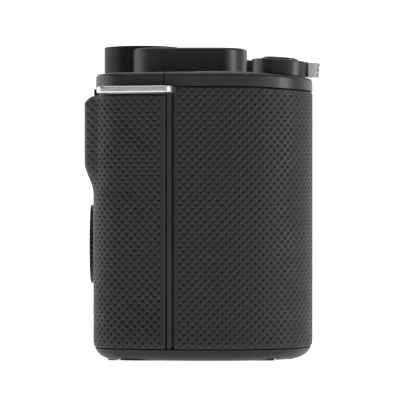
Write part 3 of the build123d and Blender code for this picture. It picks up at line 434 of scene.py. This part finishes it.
def circuit_board():
    """Solder resist with the tracks showing through as a faint grid."""
    n = Nodes("circuit_board")
    place = n.add("ShaderNodeTexCoord").outputs["Object"]
    brick = n.add("ShaderNodeTexBrick", Scale=420.0)
    n.link(place, brick.inputs["Vector"])
    n.colour(n.blend(brick.outputs["Fac"], (0.01, 0.06, 0.03), (0.05, 0.14, 0.06)))
    n.rough(n.spread(n.noise(300.0), 0.3, 0.45))
    return n.material


def pale_stage():
    n = Nodes("pale_stage")
    n.colour(n.blend(n.noise(3.0), (0.93, 0.93, 0.93), (0.96, 0.96, 0.96)))
    n.shader.inputs["Roughness"].default_value = 0.9
    n.shader.inputs["Specular IOR Level"].default_value = 0.1
    n.shader.inputs["Emission Color"].default_value = (1, 1, 1, 1)
    n.shader.inputs["Emission Strength"].default_value = 0.97
    return n.material


def finishes():
    """One finish for each material slot of the record."""
    ink, night = (0.004, 0.004, 0.005), (0.008, 0.008, 0.009)
    soot, coal = (0.006, 0.006, 0.007), (0.010, 0.010, 0.011)
    slate, ash = (0.10, 0.10, 0.11), (0.14, 0.14, 0.15)
    return {
        "top_metal": coated("satin_black_cover", soot, (0.011, 0.011, 0.012), 0.36, 8000.0, 0.3),
        "casing": coated("casing_paint", ink, night, 0.42, 6000.0, 0.35, spec=0.3),
        "rubber": rubber(),
        "gloss_black": coated("gloss_black", soot, coal, 0.28, 3000.0, 0.05, coat=0.5),
        "grey_metal": coated("grey_metal", (0.10, 0.10, 0.105), (0.14, 0.14, 0.145), 0.38, 6500.0, 0.3, 0.8),
        "black_metal": coated("black_metal", (0.016, 0.016, 0.018), (0.028, 0.028, 0.030), 0.33, 5000.0,
                              0.2, 0.6),
        "steel": turned_metal("turned_steel", (0.62, 0.62, 0.64), 0.28, (1.0, 1.0, 1.0)),
        "chrome": turned_metal("bright_chrome", (0.62, 0.62, 0.63), 0.3, (1.0, 1.0, 6.0)),
        "brass": turned_metal("gold_plate", (0.86, 0.66, 0.30), 0.25, (1.0, 4.0, 1.0)),
        "black_plastic": coated("black_plastic", ink, night, 0.5, 5000.0, 0.4),
        "board": circuit_board(),
        "glass": glass("coated_glass", (0.02, 0.03, 0.05)),
        "sensor": glass("sensor_silicon", (0.05, 0.03, 0.08), 0.12),
        "screen": glass("display_glass", (0.006, 0.006, 0.008)),
        "label_grey": coated("grey_wrap", slate, ash, 0.4, 4000.0, 0.2),
    }


FINISH = finishes()


def dress_cad_nodes():
    """Every CAD node that stays gets the finish of its slot, and smooth shading on its curves."""
    for part in frame["record"]["subparts"]:
        obj = NODES[part["node"]]
        obj.data.materials.clear()
        obj.data.materials.append(FINISH[part["material_slot"]])
        if part["node"] == "zoom_lever":
            obj.data.materials[0] = lever_finish()
        obj.data.polygons.foreach_set("use_smooth", np.ones(len(obj.data.polygons), bool))
        obj.data.set_sharp_from_angle(angle=radians(32))


def place_covers():
    pieces = {
        "grip_cover_front": grip_front_cover(FINISH["rubber"]),
        "grip_cover_rear": grip_rear_cover(FINISH["rubber"]),
        "front_cover_left": front_panel(FINISH["rubber"]),
    }
    for node, piece in pieces.items():
        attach(piece, "camera_body")
        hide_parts(node)


# ---- stage, lights and camera ---------------------------------------------------------
def stage():
    """A pale floor that curves up into a backdrop well behind the body."""
    half, run, rise, bend = 6.0, 2.6, 3.2, 0.8
    profile = [(-6.0, 0.0), (run - bend, 0.0)]
    profile += [(run - bend + bend * sin(radians(a)), bend - bend * cos(radians(a))) for a in range(6, 91, 6)]
    profile.append((run, rise))
    verts = [(x, y, z) for x, z in profile for y in (-half, half)]
    faces = [(2 * i, 2 * i + 1, 2 * i + 3, 2 * i + 2) for i in range(len(profile) - 1)]
    mesh = bpy.data.meshes.new("stage_floor")
    mesh.from_pydata(verts, [], faces)
    mesh.polygons.foreach_set("use_smooth", np.ones(len(faces), bool))
    obj = bpy.data.objects.new("stage_floor", mesh)
    bpy.context.scene.collection.objects.link(obj)
    obj.data.materials.append(pale_stage())


def area_light(name, place, target, size, power):
    data = bpy.data.lights.new(name, "AREA")
    data.shape = "RECTANGLE"
    data.size, data.size_y = size
    data.energy = power
    obj = bpy.data.objects.new(name, data)
    obj.location = place
    obj.rotation_euler = (Vector(target) - Vector(place)).to_track_quat("-Z", "Y").to_euler()
    bpy.context.scene.collection.objects.link(obj)


CENTRE = (-0.02, -0.002, 0.036)
EYE = (-0.621, -0.006, 0.03635)   # the lens that sees the grip end
FIELD = 0.0888                    # height of the view at the grip's end face
REACH = 0.55                      # distance from the lens to that face


def lights():
    area_light("rear_strip", (0.04, 0.62, 0.16), CENTRE, (0.50, 0.55), 1.3)
    area_light("front_strip", (-0.29, -0.58, 0.14), CENTRE, (0.16, 0.5), 2.1)
    area_light("overhead", (-0.10, 0.0, 0.75), CENTRE, (0.7, 0.5), 2.4)
    area_light("behind_eye", (-0.75, 0.25, 0.45), CENTRE, (0.3, 0.3), 0.4)
    world = bpy.data.worlds.new("studio")
    world.use_nodes = True
    world.node_tree.nodes["Background"].inputs["Color"].default_value = (0.9, 0.92, 0.95, 1)
    world.node_tree.nodes["Background"].inputs["Strength"].default_value = 0.06
    bpy.context.scene.world = world


def camera():
    data = bpy.data.cameras.new("camera")
    data.sensor_width = 36.0
    data.lens = data.sensor_width * REACH / FIELD
    data.clip_start, data.clip_end = 0.02, 50.0
    obj = bpy.data.objects.new("camera", data)
    obj.location = EYE
    obj.rotation_euler = Vector((1, 0, 0)).to_track_quat("-Z", "Y").to_euler()
    bpy.context.scene.collection.objects.link(obj)
    bpy.context.scene.camera = obj
    bpy.context.scene.view_settings.view_transform = "Standard"


dress_cad_nodes()
place_covers()
stage()
lights()
camera()
